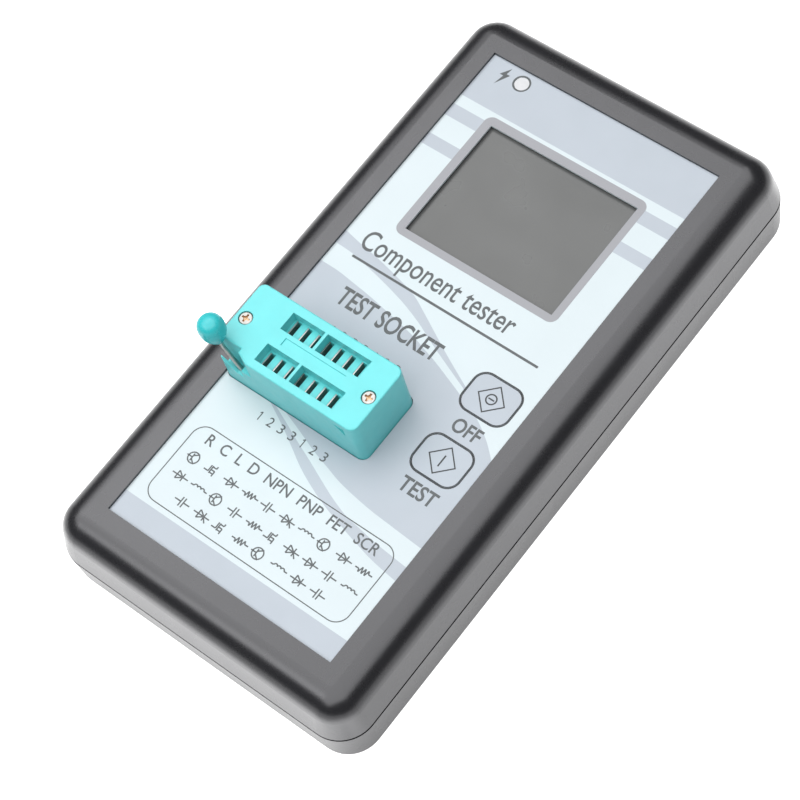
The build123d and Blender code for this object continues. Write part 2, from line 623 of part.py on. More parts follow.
# ================================================================ ZIF contacts
with BuildPart() as zif_contact_stems:
    for x, y in slot_points:
        with BuildSketch(Plane.XY.offset(BOARD_TOP + 0.2)):
            with Locations((x, y)):
                Rectangle(0.25, 3.2)
        extrude(amount=9.0)
        with BuildSketch(Plane.XY.offset(BOARD_UNDER - 1.2)):
            with Locations((x, y)):
                Rectangle(0.25, 0.6)
        extrude(amount=BOARD_T + 1.4)
save(zif_contact_stems, "zif_contact_stems")

with BuildPart() as zif_contact_leaves:
    with BuildSketch(Plane.XY.offset(SLIDER_Z[0] + 0.1)):
        with Locations(*[(x - SLOT[0] / 2 + 0.125, y) for x, y in slot_points]):
            Rectangle(0.25, SLOT[1])
    extrude(amount=SLIDER_Z[1] - SLIDER_Z[0] - 0.2)
save(zif_contact_leaves, "zif_contact_leaves")

# ================================================================ ZIF screws
with BuildPart() as zif_screws:
    for screw_at in ZIF_SCREWS:
        with BuildSketch(Plane.XY.offset(ZIF_TOP - 0.8)):
            with Locations(screw_at):
                Circle(ZIF_HEAD_R)
        extrude(amount=0.72)
        with BuildSketch(Plane.XY.offset(ZIF_TOP - 0.08)):
            with Locations(screw_at):
                Rectangle(1.7, 0.42)
                Rectangle(0.42, 1.7)
                Circle(0.45)
        extrude(amount=-0.5, mode=Mode.SUBTRACT)
        with BuildSketch(Plane.XY.offset(ZIF_TOP - 0.8)):
            with Locations(screw_at):
                Circle(0.69)
        extrude(amount=-9.5)
    fillet(zif_screws.edges().filter_by(GeomType.CIRCLE).filter_by(
        lambda edge: abs(edge.radius - ZIF_HEAD_R) < 0.01 and edge.center().Z > ZIF_TOP - 0.2), 0.25)
save(zif_screws, "zif_screws")

# ================================================================ lever and knob
pivot = Vector(AXLE_X, LEVER_Y, AXLE_Z)
bend = Vector(LEVER_BEND[0], LEVER_Y, LEVER_BEND[1])
knob_mid = Vector(KNOB_MID[0], LEVER_Y, KNOB_MID[1])
knob_dir = (knob_mid - bend).normalized()
knob_end = knob_mid - knob_dir * (KNOB_L / 2)
pin_at = (FORK_X, AXLE_Z - CRANK_R * cos(radians(CRANK_REST)))
WEB_R, WEB_T = 1.25, 0.35
CRANK_Y0, CRANK_Y1 = ROW_CY - 2.7, ROW_CY + 2.7

with BuildPart() as zif_lever:
    with BuildLine() as arm:
        FilletPolyline(pivot, bend, knob_mid + knob_dir * WIRE_INSET, radius=WIRE_BEND_R)
    with BuildSketch(Plane(origin=pivot, z_dir=bend - pivot)):
        Circle(WIRE_R)
    sweep(path=arm.line)
    with BuildSketch(Plane.XZ.offset(-(LEVER_Y - WIRE_R))):
        with Locations((AXLE_X, AXLE_Z)):
            Circle(AXLE_R)
    extrude(amount=-(CRANK_Y0 - LEVER_Y + WIRE_R))
    for web_y in (CRANK_Y0, CRANK_Y1 - WEB_T):
        with BuildSketch(Plane.XZ.offset(-web_y)):
            with Locations((AXLE_X, AXLE_Z)):
                Circle(WEB_R)
        extrude(amount=-WEB_T)
    with BuildSketch(Plane.XZ.offset(-CRANK_Y0)):
        with Locations(pin_at):
            Circle(CRANK_PIN_R)
    extrude(amount=-(CRANK_Y1 - CRANK_Y0))
    with BuildSketch(Plane.XZ.offset(-CRANK_Y1)):
        with Locations((AXLE_X, AXLE_Z)):
            Circle(AXLE_R)
    extrude(amount=-(-11.5 - CRANK_Y1))
save(zif_lever, "zif_lever")

with BuildPart() as zif_knob:
    # egg shaped, a little narrower where the wire enters
    with BuildSketch(Plane(origin=knob_end, x_dir=(0, 1, 0), z_dir=Vector(0, 1, 0).cross(knob_dir))):
        with BuildLine():
            Spline((KNOB_NECK, 0), (KNOB_R, KNOB_L * 0.6), (0, KNOB_L), tangents=((0.7, 1), (-1, 0)))
            Polyline((0, KNOB_L), (0, 0), (KNOB_NECK, 0))
        make_face()
    revolve(axis=Axis(knob_end, knob_dir))
    with BuildSketch(Plane(origin=knob_end, z_dir=knob_dir)):
        Circle(WIRE_R)
    extrude(amount=KNOB_L / 2 + WIRE_INSET, mode=Mode.SUBTRACT)
save(zif_knob, "zif_knob")
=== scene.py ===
"""Looks for the hand-held component tester: camera, light, materials and printing.

The socket, keys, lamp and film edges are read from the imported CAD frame. The
print's own layout is in mm along that frame's axes, and MM turns it into metres
where a mesh is made.
"""
import math

import bmesh
import bpy
from mathutils import Matrix, Vector


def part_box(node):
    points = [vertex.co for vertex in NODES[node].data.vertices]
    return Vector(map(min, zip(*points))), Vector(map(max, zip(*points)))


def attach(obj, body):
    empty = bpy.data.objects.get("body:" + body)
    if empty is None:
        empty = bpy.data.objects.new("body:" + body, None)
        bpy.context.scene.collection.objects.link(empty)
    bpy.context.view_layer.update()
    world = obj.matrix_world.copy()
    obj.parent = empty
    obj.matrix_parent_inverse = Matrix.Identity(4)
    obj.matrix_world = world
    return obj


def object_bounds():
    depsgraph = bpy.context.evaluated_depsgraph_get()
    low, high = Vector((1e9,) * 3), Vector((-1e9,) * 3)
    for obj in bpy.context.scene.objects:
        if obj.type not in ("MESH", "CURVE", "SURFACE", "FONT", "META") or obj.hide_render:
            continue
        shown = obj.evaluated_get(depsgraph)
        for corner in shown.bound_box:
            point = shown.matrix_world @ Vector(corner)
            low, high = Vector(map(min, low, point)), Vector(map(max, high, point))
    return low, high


MM = 0.001
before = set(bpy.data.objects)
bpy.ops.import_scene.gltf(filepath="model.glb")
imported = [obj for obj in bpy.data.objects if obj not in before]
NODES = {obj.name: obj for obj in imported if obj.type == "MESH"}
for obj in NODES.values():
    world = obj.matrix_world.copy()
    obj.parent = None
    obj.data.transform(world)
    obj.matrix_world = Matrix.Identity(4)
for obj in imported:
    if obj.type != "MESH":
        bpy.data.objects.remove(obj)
cad_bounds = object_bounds()
SCENE = bpy.context.scene
SCENE.view_settings.view_transform = "Standard"


def box_mm(node):
    """A CAD node's lowest and highest corners in mm."""
    low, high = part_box(node)
    return [c / MM for c in low], [c / MM for c in high]


# ------------------------------------------------------------------ camera
CASE_TOP = box_mm("front_shell")[1][2]
VIEW_TARGET = Vector((4.96, -11.35, CASE_TOP)) * MM
VIEW_AZIMUTH, VIEW_ELEVATION, VIEW_ROLL = 56.27, 60.82, -20.4      # degrees
VIEW_DISTANCE = 0.4618
LENS = 115.67


def add_camera():
    azimuth, elevation = math.radians(VIEW_AZIMUTH), math.radians(VIEW_ELEVATION)
    back = Vector((math.sin(azimuth) * math.cos(elevation),
                   -math.cos(azimuth) * math.cos(elevation), math.sin(elevation)))
    level_right = Vector((math.cos(azimuth), math.sin(azimuth), 0))
    level_up = back.cross(level_right)
    roll = math.radians(VIEW_ROLL)
    right = level_right * math.cos(roll) + level_up * math.sin(roll)
    up = back.cross(right)
    camera = bpy.data.objects.new("camera", bpy.data.cameras.new("camera"))
    SCENE.collection.objects.link(camera)
    camera.matrix_world = Matrix.Translation(VIEW_TARGET + back * VIEW_DISTANCE) @ Matrix(
        (right, up, back)).transposed().to_4x4()
    camera.data.lens = LENS
    camera.data.clip_start = 0.01
    SCENE.camera = camera


add_camera()


# ------------------------------------------------------------------ light
def area_light(name, direction, distance, size, radiance):
    """A square softbox that faces the object; radiance is how bright it looks."""
    light = bpy.data.lights.new(name, "AREA")
    light.shape = "SQUARE"
    light.size = size
    light.energy = radiance * math.pi * size * size
    holder = bpy.data.objects.new(name, light)
    SCENE.collection.objects.link(holder)
    direction = Vector(direction).normalized()
    holder.location = direction * distance
    holder.rotation_euler = direction.to_track_quat("Z", "Y").to_euler()


def add_world(brightness):
    world = bpy.data.worlds.new("studio")
    world.use_nodes = True
    background = world.node_tree.nodes["Background"]
    background.inputs["Color"].default_value = (1.0, 1.0, 1.0, 1)
    background.inputs["Strength"].default_value = brightness
    SCENE.world = world


add_world(0.12)
area_light("softbox_top", (-0.06, -0.1, 1.0), 0.95, 1.7, 2.15)
area_light("softbox_main", (-0.62, 0.25, 0.75), 1.0, 0.6, 1.2)
area_light("softbox_near", (-0.36, -0.56, 0.72), 1.0, 0.35, 1.3)


# ------------------------------------------------------------------ materials
NOISE_LOW, NOISE_HIGH = 0.3, 0.7        # what noise mostly lies between
FINE_DETAIL, PATCH_DETAIL = 2.0, 3.0    # octaves of noise
SUNK_EDGE = 0.00003                     # metres either side of a height over which paint changes
WORN_SIZE, WORN_AMOUNT = 0.4, 0.2       # mm and share by which that height is uneven


class Paint:
    """A principled material with its procedural variation."""

    def __init__(self, name, colour, roughness, metallic=0.0, **sockets):
        self.material = bpy.data.materials.new(name)
        self.material.use_nodes = True
        self.tree = self.material.node_tree
        self.shader = self.tree.nodes["Principled BSDF"]
        self.set("Base Color", (*colour, 1))
        self.set("Roughness", roughness)
        self.set("Metallic", metallic)
        for socket, value in sockets.items():
            self.set(socket.replace("_", " "), value)
        self.colour = colour
        self.place = self.node("ShaderNodeTexCoord").outputs["Object"]
        self.last_normal = None

    def node(self, kind, **values):
        made = self.tree.nodes.new(kind)
        for key, value in values.items():
            if isinstance(value, bpy.types.NodeSocket):
                self.tree.links.new(value, made.inputs[key])
            elif key in made.inputs:
                made.inputs[key].default_value = value
            else:
                setattr(made, key, value)
        return made

    def set(self, socket, value):
        if isinstance(value, bpy.types.NodeSocket):
            self.tree.links.new(value, self.shader.inputs[socket])
        else:
            self.shader.inputs[socket].default_value = value

    def noise(self, size_mm, detail=FINE_DETAIL, stretch=None):
        """Noise whose features are about size_mm across."""
        place = self.place
        if stretch:
            mapped = self.node("ShaderNodeMapping", Vector=place, Scale=stretch)
            place = mapped.outputs["Vector"]
        made = self.node("ShaderNodeTexNoise", Vector=place, Detail=detail)
        made.inputs["Scale"].default_value = 1.0 / (size_mm * MM)
        return made.outputs["Fac"]

    def ramp(self, value, low, high, start=NOISE_LOW, end=NOISE_HIGH):
        """A colour between low and high as value goes from start to end."""
        made = self.node("ShaderNodeValToRGB", Fac=value)
        made.color_ramp.elements[0].position = start
        made.color_ramp.elements[1].position = end
        made.color_ramp.elements[0].color = (*low, 1)
        made.color_ramp.elements[1].color = (*high, 1)
        return made.outputs["Color"]

    def levels(self, value, stops):
        """Grey levels given as (place, level) stops along value."""
        (start, first), *between_stops, (end, last) = stops
        ramp = self.ramp(value, (first,) * 3, (last,) * 3, start, end)
        for place, level in between_stops:
            ramp.node.color_ramp.elements.new(place).color = (level, level, level, 1)
        return ramp

    def mottle(self, size_mm, amount):
        """Slight colour variation in patches about size_mm across."""
        low = [c * (1 - amount) for c in self.colour]
        high = [min(1.0, c * (1 + amount)) for c in self.colour]
        self.set("Base Color", self.ramp(self.noise(size_mm, PATCH_DETAIL), low, high))
        return self

    def gloss(self, size_mm, low, high):
        """Roughness that varies between low and high."""
        value = self.node("ShaderNodeMapRange", Value=self.noise(size_mm, PATCH_DETAIL))
        value.inputs["From Min"].default_value = NOISE_LOW
        value.inputs["From Max"].default_value = NOISE_HIGH
        value.inputs["To Min"].default_value = low
        value.inputs["To Max"].default_value = high
        self.set("Roughness", value.outputs["Result"])
        return self

    def sunk(self, height, colour):
        """Another colour below a height in metres, as in a recess that the plating missed."""
        level = self.node("ShaderNodeMapRange", Value=self.node(
            "ShaderNodeSeparateXYZ", Vector=self.place).outputs["Z"])
        level.inputs["From Min"].default_value = height - SUNK_EDGE
        level.inputs["From Max"].default_value = height + SUNK_EDGE
        worn = self.node("ShaderNodeMath", operation="MULTIPLY_ADD")
        self.tree.links.new(self.noise(WORN_SIZE), worn.inputs[0])
        worn.inputs[1].default_value = WORN_AMOUNT
        self.tree.links.new(level.outputs["Result"], worn.inputs[2])
        self.set("Base Color", self.ramp(worn.outputs[0], colour, self.colour, 0.2, 0.9))
        return self

    def grain(self, size_mm, height_mm, strength, stretch=None):
        """Bumps about size_mm across and height_mm high."""
        bump = self.node("ShaderNodeBump", Height=self.noise(size_mm, FINE_DETAIL, stretch))
        bump.inputs["Distance"].default_value = height_mm * MM
        bump.inputs["Strength"].default_value = strength
        if self.last_normal:
            self.tree.links.new(self.last_normal, bump.inputs["Normal"])
        self.last_normal = bump.outputs["Normal"]
        self.set("Normal", self.last_normal)
        return self


def dress(paint, *nodes):
    """Gives CAD nodes a material."""
    for name in nodes:
        data = NODES[name].data
        data.materials.clear()
        data.materials.append(paint.material)


case_plastic = Paint("case_plastic", (0.010, 0.0101, 0.0122), 0.27, Specular_IOR_Level=0.95,
                     Specular_Tint=(0.97, 0.97, 1.0, 1))
case_plastic.mottle(9.0, 0.1).gloss(6.0, 0.26, 0.285)
case_plastic.grain(0.22, 0.012, 0.3).grain(0.7, 0.008, 0.15)

film_white = Paint("film_white", (0.595, 0.67, 0.70), 0.42)
film_white.mottle(14.0, 0.012).gloss(6.0, 0.38, 0.46).grain(0.12, 0.002, 0.25)

print_blue = Paint("print_blue", (0.43, 0.475, 0.53), 0.45)
print_blue.mottle(11.0, 0.02).gloss(6.0, 0.4, 0.48).grain(0.12, 0.002, 0.25)

print_grey = Paint("print_grey", (0.31, 0.315, 0.34), 0.42)
print_grey.mottle(6.0, 0.03).gloss(6.0, 0.38, 0.45).grain(0.12, 0.002, 0.2)

print_ink = Paint("print_ink", (0.085, 0.095, 0.1), 0.45)
print_ink.mottle(0.8, 0.12).grain(0.1, 0.002, 0.2)

print_dark = Paint("print_dark", (0.03, 0.034, 0.038), 0.42)
print_dark.mottle(0.8, 0.12).grain(0.1, 0.002, 0.2)

screen = Paint("screen", (0.105, 0.108, 0.107), 0.32)
screen.mottle(22.0, 0.05).gloss(9.0, 0.26, 0.33).grain(0.1, 0.001, 0.12)

socket_teal = Paint("socket_teal", (0.14, 0.66, 0.68), 0.36)
socket_teal.mottle(5.0, 0.03).gloss(1.5, 0.3, 0.4).grain(0.5, 0.012, 0.25).grain(0.12, 0.004, 0.3)

slider_teal = Paint("slider_teal", (0.1, 0.6, 0.61), 0.4)
slider_teal.mottle(3.0, 0.04).grain(0.3, 0.008, 0.25)

knob_teal = Paint("knob_teal", (0.035, 0.5, 0.53), 0.3)
knob_teal.mottle(3.0, 0.04).gloss(1.5, 0.22, 0.3).grain(0.8, 0.008, 0.2)

wire_steel = Paint("wire_steel", (0.52, 0.51, 0.48), 0.32, 1.0)
wire_steel.mottle(0.6, 0.12).gloss(0.4, 0.26, 0.42).grain(0.12, 0.004, 0.3)

contact_metal = Paint("contact_metal", (0.5, 0.49, 0.46), 0.5, 1.0)
contact_metal.mottle(0.5, 0.06).gloss(0.4, 0.42, 0.55).grain(0.1, 0.002, 0.2)

# metres; below it lie the crosses of the socket's screws, and the very rim of their heads
SCREW_CROSS_TOP = 0.02972
BARE_BRASS = (0.62, 0.42, 0.26)
screw_plating = Paint("screw_plating", (0.5, 0.49, 0.47), 0.42, 1.0)
screw_plating.gloss(0.3, 0.45, 0.55).grain(0.15, 0.003, 0.3)
screw_plating.sunk(SCREW_CROSS_TOP, BARE_BRASS)

zinc = Paint("zinc", (0.5, 0.5, 0.51), 0.35, 1.0)
zinc.mottle(0.8, 0.1).gloss(0.5, 0.28, 0.45).grain(0.15, 0.004, 0.3)

frosted = Paint("frosted", (0.72, 0.73, 0.75), 0.45, Transmission_Weight=0.15)
frosted.mottle(1.2, 0.05).grain(0.1, 0.003, 0.3)

chip_black = Paint("chip_black", (0.02, 0.02, 0.021), 0.5)
chip_black.mottle(1.0, 0.15).grain(0.08, 0.004, 0.3)

board_green = Paint("board_green", (0.012, 0.09, 0.035), 0.35)
board_green.mottle(4.0, 0.15).gloss(3.0, 0.3, 0.42).grain(0.3, 0.004, 0.2)

moulded_white = Paint("moulded_white", (0.78, 0.78, 0.74), 0.45)
moulded_white.mottle(2.0, 0.03).grain(0.2, 0.004, 0.25)

flex_amber = Paint("flex_amber", (0.45, 0.18, 0.03), 0.35)
flex_amber.mottle(2.0, 0.08).grain(0.3, 0.003, 0.2)

fired_tan = Paint("fired_tan", (0.42, 0.28, 0.16), 0.5)
fired_tan.mottle(0.6, 0.1).grain(0.1, 0.004, 0.25)

drawn_can = Paint("drawn_can", (0.75, 0.75, 0.77), 0.28, 1.0)
drawn_can.mottle(2.0, 0.04).grain(0.2, 0.003, 0.3, stretch=(1, 1, 0.1))

pouch_foil = Paint("pouch_foil", (0.6, 0.61, 0.64), 0.38, 1.0)
pouch_foil.mottle(5.0, 0.06).gloss(4.0, 0.3, 0.46).grain(2.5, 0.08, 0.4)

foam_black = Paint("foam_black", (0.03, 0.03, 0.03), 0.9)
foam_black.mottle(0.6, 0.3).grain(0.35, 0.08, 0.8)

lead_red = Paint("lead_red", (0.5, 0.02, 0.02), 0.45)
lead_red.mottle(1.0, 0.08).grain(0.3, 0.006, 0.2)

lead_black = Paint("lead_black", (0.015, 0.015, 0.015), 0.45)
lead_black.mottle(1.0, 0.15).grain(0.3, 0.006, 0.2)

dress(case_plastic, "front_shell", "rear_shell")
dress(film_white, "overlay_film")
dress(print_blue, "key_off", "key_test")
dress(screen, "display_glass")
dress(socket_teal, "zif_base", "zif_cover")
dress(slider_teal, "zif_slider")
dress(knob_teal, "zif_knob")
dress(wire_steel, "zif_lever")
dress(contact_metal, "zif_contact_stems", "zif_contact_leaves")
dress(screw_plating, "zif_screws")
dress(zinc, "case_screws", "board_screws", "switch_frames", "usb_shell", "crystal")
dress(frosted, "light_pipe")
dress(chip_black, "mcu_chip", "charger_chip", "boost_inductor", "switching_transistors",
      "chip_resistors", "switch_off_body", "switch_test_body", "switch_off_plunger",
      "switch_test_plunger", "usb_tongue")
dress(board_green, "main_board")
dress(moulded_white, "display_backlight", "battery_plug", "battery_socket", "charge_led")
dress(flex_amber, "display_ribbon")
dress(fired_tan, "chip_capacitors")
dress(drawn_can, "filter_capacitors")
dress(pouch_foil, "battery_cell")
dress(foam_black, "battery_pad")
dress(lead_red, "battery_lead_red")
dress(lead_black, "battery_lead_black")


# ------------------------------------------------------------------ floor
CAMERA_WHITE = 1.1                      # glow that the camera sees, in place of the one below
FLOOR_GLOW = 1.75
FLOOR_HALF, FLOOR_DEPTH = 4.0, -0.0002  # metres: half the floor's side, and its height
FLOOR_REACH = 0.06                      # metres from the tester over which FLOOR_FALL runs
# painted light and shade in the floor's glow along FLOOR_REACH: lowest right against the tester
# as a painted contact shadow, highest 10 to 20 mm off, where the case walls reflect it, faint
# past 40 mm
FLOOR_FALL = ((0.0, 0.42), (0.06, 0.48), (0.16, 1.0), (0.34, 0.95), (0.7, 0.1), (1.0, 0.05))
FLOOR_END, FLOOR_SPAN = -0.08, 0.16     # metres along the tester over which FLOOR_SIDE runs
# a painted pool of light: the glow is strongest off the near end of the tester, where the near
# wall reflects it, and dimmer along the rest
FLOOR_SIDE = ((0.0, 1.0), (0.06, 1.0), (0.12, 0.55), (0.9, 0.8), (1.0, 0.8))


def add_floor():
    """A white table whose glow is painted light: bright beside the tester and dim further off,
    but plain white to look at.
    """
    floor = Paint("floor_white", (0.9, 0.9, 0.9), 0.6, Emission_Color=(1, 1, 1, 1))
    floor.mottle(60.0, 0.01)
    link = floor.tree.links.new
    apart = floor.node("ShaderNodeVectorMath", operation="ABSOLUTE")
    link(floor.place, apart.inputs[0])
    past = floor.node("ShaderNodeVectorMath", operation="SUBTRACT")
    link(apart.outputs[0], past.inputs[0])
    past.inputs[1].default_value = (cad_bounds[1][0], cad_bounds[1][1], 0)
    split = floor.node("ShaderNodeSeparateXYZ", Vector=past.outputs[0])
    away = floor.node("ShaderNodeMath", operation="MAXIMUM")
    link(split.outputs["X"], away.inputs[0])
    link(split.outputs["Y"], away.inputs[1])
    reach = floor.node("ShaderNodeMath", operation="DIVIDE")
    link(away.outputs[0], reach.inputs[0])
    reach.inputs[1].default_value = FLOOR_REACH
    along = floor.node("ShaderNodeMapRange", Value=floor.node(
        "ShaderNodeSeparateXYZ", Vector=floor.place).outputs["Y"])
    along.inputs["From Min"].default_value = FLOOR_END
    along.inputs["From Max"].default_value = FLOOR_END + FLOOR_SPAN
    glow = floor.node("ShaderNodeMath", operation="MULTIPLY")
    link(floor.levels(reach.outputs[0], FLOOR_FALL), glow.inputs[0])
    link(floor.levels(along.outputs["Result"], FLOOR_SIDE), glow.inputs[1])
    scaled = floor.node("ShaderNodeMath", operation="MULTIPLY")
    link(glow.outputs[0], scaled.inputs[0])
    scaled.inputs[1].default_value = FLOOR_GLOW
    ray = floor.node("ShaderNodeLightPath")
    pick = floor.node("ShaderNodeMix", Factor=ray.outputs["Is Camera Ray"])
    link(scaled.outputs[0], pick.inputs["A"])
    pick.inputs["B"].default_value = CAMERA_WHITE
    floor.set("Emission Strength", pick.outputs["Result"])
    mesh = bpy.data.meshes.new("floor")
    corners = ((-1, -1), (1, -1), (1, 1), (-1, 1))
    mesh.from_pydata([(x * FLOOR_HALF, y * FLOOR_HALF, FLOOR_DEPTH) for x, y in corners],
                     [], [(0, 1, 2, 3)])
    mesh.materials.append(floor.material)
    plane = bpy.data.objects.new("floor", mesh)
    SCENE.collection.objects.link(plane)


add_floor()


# ------------------------------------------------------------------ outlines
ROUND_STEPS, CIRCLE_STEPS, CURVE_STEPS, RING_STEPS = 10, 48, 8, 14
MERGE_DISTANCE = 1e-7                   # metres


def arc(cx, cy, radius, start, end, steps=ROUND_STEPS):
    """Points of an arc in mm, angles in degrees."""
    return [(cx + radius * math.cos(math.radians(start + (end - start) * i / steps)),
             cy + radius * math.sin(math.radians(start + (end - start) * i / steps)))
            for i in range(steps + 1)]


def circle(cx, cy, radius, steps=CIRCLE_STEPS):
    """A closed outline, so its last point isn't its first again."""
    return arc(cx, cy, radius, 0, 360 * (steps - 1) / steps, steps - 1)


def rounded(cx, cy, width, height, radius):
    """A rectangle with rounded corners, counter-clockwise."""
    x, y = width / 2 - radius, height / 2 - radius
    if radius <= 0:
        return [(cx - x, cy - y), (cx + x, cy - y), (cx + x, cy + y), (cx - x, cy + y)]
    points = []
    for turn, (sx, sy) in enumerate(((1, 1), (-1, 1), (-1, -1), (1, -1))):
        points += arc(cx + sx * x, cy + sy * y, radius, 90 * turn, 90 * turn + 90)
    return points


def smooth(points):
    """A Catmull-Rom curve through a few points."""
    curve = []
    ends = [points[0], *points, points[-1]]
    for a, b, c, d in zip(ends, ends[1:], ends[2:], ends[3:]):
        for i in range(CURVE_STEPS):
            t = i / CURVE_STEPS
            curve.append(tuple(
                0.5 * (2 * q + (r - p) * t + (2 * p - 5 * q + 4 * r - s) * t * t
                       + (3 * q - p - 3 * r + s) * t ** 3)
                for p, q, r, s in zip(a, b, c, d)))
    return curve + [points[-1]]


def evaluated_mesh(source):
    """A new mesh of what an object's curve, text or modifiers give."""
    bpy.context.view_layer.update()
    graph = bpy.context.evaluated_depsgraph_get()
    return bpy.data.meshes.new_from_object(source.evaluated_get(graph))


def mesh_from(curve_object):
    """The mesh that a curve or text object gives, and the curve removed."""
    mesh = evaluated_mesh(curve_object)
    bpy.data.objects.remove(curve_object)
    clean = bmesh.new()
    clean.from_mesh(mesh)
    bmesh.ops.remove_doubles(clean, verts=clean.verts, dist=MERGE_DISTANCE)
    bmesh.ops.recalc_face_normals(clean, faces=clean.faces)
    clean.to_mesh(mesh)
    clean.free()
    return mesh


def piece(name, mesh, paint, body):
    """A piece of the print, which rides on a body."""
    mesh.name = name
    mesh.materials.clear()
    mesh.materials.append(paint.material)
    made = bpy.data.objects.new(name, mesh)
    SCENE.collection.objects.link(made)
    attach(made, body)


def slab_mesh(loops, bottom, top):
    """A closed flat solid between two heights, from outlines in mm; inner outlines are holes."""
    curve = bpy.data.curves.new("outline", "CURVE")
    curve.dimensions = "2D"
    curve.fill_mode = "BOTH"
    curve.extrude = (top - bottom) / 2 * MM
    for loop in loops:
        spline = curve.splines.new("POLY")
        spline.points.add(len(loop) - 1)
        for point, (x, y) in zip(spline.points, loop):
            point.co = (x * MM, y * MM, 0, 1)
        spline.use_cyclic_u = True
    holder = bpy.data.objects.new("outline", curve)
    SCENE.collection.objects.link(holder)
    mesh = mesh_from(holder)
    mesh.transform(Matrix.Translation((0, 0, (top + bottom) / 2 * MM)))
    return mesh


def subtract(mesh, cutters):
    """The mesh less each cutter mesh."""
    target = bpy.data.objects.new("target", mesh)
    SCENE.collection.objects.link(target)
    tools = []
    for cutter in cutters:
        tool = bpy.data.objects.new("cutter", cutter)
        SCENE.collection.objects.link(tool)
        tools.append(tool)
        modifier = target.modifiers.new("cut", "BOOLEAN")
        modifier.operation = "DIFFERENCE"
        modifier.solver = "EXACT"
        modifier.object = tool
    result = evaluated_mesh(target)
    for made in (target, *tools):
        bpy.data.objects.remove(made)
    return result


# ------------------------------------------------------------------ printing on the overlay
FILM_LOW, FILM_HIGH = box_mm("overlay_film")
FILM_TOP = FILM_HIGH[2]
MARGIN = 0.02                             # bare film left round the print
LEFT, RIGHT = FILM_LOW[0] + MARGIN, FILM_HIGH[0] - MARGIN
NEAR, FAR = FILM_LOW[1] + MARGIN, FILM_HIGH[1] - MARGIN
SINK = 0.01                               # how far printing starts below the film's surface
ZONE_T, INK_T = 0.012, 0.026              # how far coloured areas and ink stand above it
SOCKET_LOW, SOCKET_HIGH = box_mm("zif_base")
SOCKET_FIT, SOCKET_R_LEFT, SOCKET_R_RIGHT = 0.15, 1.55, 1.75
WINDOW = (0.2, 31.1, 34.2, 26.7)          # centre x, centre y, width, height
BEZEL = (0.05, 31.25, 37.5, 30.1, 1.75)   # the same, and the corners' radius
LAMP_LOW, LAMP_HIGH = box_mm("light_pipe")
LAMP_X, LAMP_Y = (LAMP_LOW[0] + LAMP_HIGH[0]) / 2, (LAMP_LOW[1] + LAMP_HIGH[1]) / 2
LAMP_R, LAMP_RING_R = 1.5, 1.85
KEY_GAP = 0.1
KEY_R, KEY_RING_R, KEY_RING = 2.4, 2.75, 0.45
KEY_RIM = 0.15
DIAMOND_REACH, DIAMOND_LINE = 3.1, 0.36


def key_place(name):
    """Centre and size of a key's patch."""
    low, high = box_mm(name)
    return (low[0] + high[0]) / 2, (low[1] + high[1]) / 2, high[0] - low[0], high[1] - low[1]


KEYS = {name: key_place(name) for name in ("key_off", "key_test")}


def key_opening(name):
    """The edge of the film round a key."""
    x, y, w, h = KEYS[name]
    return rounded(x, y, w + 2 * KEY_GAP, h + 2 * KEY_GAP, KEY_R + KEY_GAP)


def socket_outline():
    """The opening round the socket, whose right corners are rounder than its left ones."""
    x0, y0 = (c - SOCKET_FIT for c in SOCKET_LOW[:2])
    x1, y1 = (c + SOCKET_FIT for c in SOCKET_HIGH[:2])
    left, right = SOCKET_R_LEFT, SOCKET_R_RIGHT
    return (arc(x1 - right, y1 - right, right, 0, 90)
            + arc(x0 + left, y1 - left, left, 90, 180)
            + arc(x0 + left, y0 + left, left, 180, 270)
            + arc(x1 - right, y0 + right, right, 270, 360))


def film_openings():
    """Cutters for everything that comes up through the film."""
    bottom, top = FILM_TOP - 1, FILM_TOP + 1
    loops = [rounded(*WINDOW, 0), socket_outline(), circle(LAMP_X, LAMP_Y, LAMP_R)]
    loops += [key_opening(name) for name in KEYS]
    return [slab_mesh([loop], bottom, top) for loop in loops]


def zone(name, loop):
    """A coloured area of the film, cut away at its openings."""
    mesh = slab_mesh([loop], FILM_TOP - SINK, FILM_TOP + ZONE_T)
    piece(name, subtract(mesh, film_openings()), print_blue, "case")


def strip(name, y0, y1):
    """A coloured area across the whole film."""
    zone(name, [(LEFT, y0), (RIGHT, y0), (RIGHT, y1), (LEFT, y1)])


strip("print_band_far", 47.1, FAR)
strip("print_stripe_upper", 41.85, 44.75)
strip("print_stripe_lower", 34.4, 37.05)
strip("print_band_near", NEAR, -53.0)

# the curved areas' edges, in mm
SWOOSH_TOP = [(LEFT, 11.4), (-22, 10.6), (-17, 9.8), (-11, 8.5), (-6.6, 7.3), (-2, 5.05),
              (2.2, 2.85), (6.3, 0.75), (10, -1.05), (13.6, -2.75)]
SWOOSH_UNDER = [(LEFT, 8.3), (-22, 8.1), (-18, 7.4), (-14, 6.6), (-10, 5.67), (-6.2, 4.6),
                (-2, 3.1), (2.2, 1.25), (6.3, -0.4), (13.6, -3.25)]
FIELD_TOP = [(LEFT, 3.75), (-22, 3.7), (-18, 3.25), (-14, 2.75), (-10, 2.1), (-2, 0.6),
             (2.2, -0.6), (6, -1.75), (13, -4.25), (17, -5.85), (19.25, -6.8), (23, -9.2),
             (RIGHT, -11.9)]
FIELD_UNDER = [(LEFT, -20.0), (-18, -22.6), (-13.25, -24.1), (-8, -25.8), (-2, -27.9),
               (2.2, -29.1), (6.3, -30.2), (13, -31.2), (19, -31.65), (RIGHT, -32.1)]
TAIL_TOP = [(-16, -24.1), (-14, -24.6), (-10.3, -26.1), (-6.2, -27.9), (-2, -29.6),
            (2.2, -31.4), (6.3, -33.1), (10.5, -34.5), (14.7, -35.2), (19, -35.8),
            (RIGHT, -36.4)]
